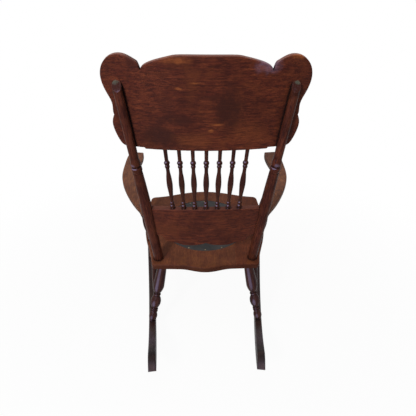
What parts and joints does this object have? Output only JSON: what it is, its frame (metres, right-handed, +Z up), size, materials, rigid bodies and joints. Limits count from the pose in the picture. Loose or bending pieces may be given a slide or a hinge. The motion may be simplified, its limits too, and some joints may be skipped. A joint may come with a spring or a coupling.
{
  "type": "spindle-back rocking chair",
  "caption": "Oak rocking chair with arms: scalloped crest panel on turned posts, spindle back, shaped lower rail, round inset seat panel and curved runners.",
  "frame": {"origin": "on the floor, under the middle of the runners' length, on the plane of symmetry", "axes": "+X to the sitter's left, +Y to the rear of the chair, +Z up"},
  "size_m": [0.6598, 0.7902, 1.0664],
  "materials": {
    "sawn_oak": "dark red-brown stain under old shellac, satin, worn paler on the edges",
    "turned_oak": "dark red-brown stain under old shellac, satin, nearly black in the grooves",
    "seat_oak": "red-brown stain under old shellac, satin, worn",
    "seat_panel": "dark grey-green pressed fibre panel, dull",
    "tack": "aged brass, dull",
    "screw": "darkened steel",
    "dowel": "plain birch, unfinished"
  },
  "bodies": {
    "root": {"arm_screws": "screw", "back_spindle_1": "turned_oak", "back_spindle_2": "turned_oak", "back_spindle_3": "turned_oak", "back_spindle_4": "turned_oak", "back_spindle_5": "turned_oak", "back_spindle_6": "turned_oak", "back_spindle_7": "turned_oak", "crest_panel": "sawn_oak", "crest_screws": "screw", "front_seat_rail": "seat_oak", "front_stretcher": "turned_oak", "left_arm": "sawn_oak", "left_arm_front_post": "turned_oak", "left_arm_spindle_1": "turned_oak", "left_arm_spindle_2": "turned_oak", "left_arm_spindle_3": "turned_oak", "left_back_post": "turned_oak", "left_front_leg": "turned_oak", "left_rear_leg": "turned_oak", "left_runner": "sawn_oak", "left_seat_board": "seat_oak", "left_side_stretcher": "turned_oak", "lower_back_rail": "sawn_oak", "panel_tacks": "tack", "rear_seat_rail": "seat_oak", "right_arm": "sawn_oak", "right_arm_front_post": "turned_oak", "right_arm_spindle_1": "turned_oak", "right_arm_spindle_2": "turned_oak", "right_arm_spindle_3": "turned_oak", "right_back_post": "turned_oak", "right_front_leg": "turned_oak", "right_rear_leg": "turned_oak", "right_runner": "sawn_oak", "right_seat_board": "seat_oak", "right_side_stretcher": "turned_oak", "seat_dowels": "dowel", "seat_panel": "seat_panel"}
  },
  "joints": []
}
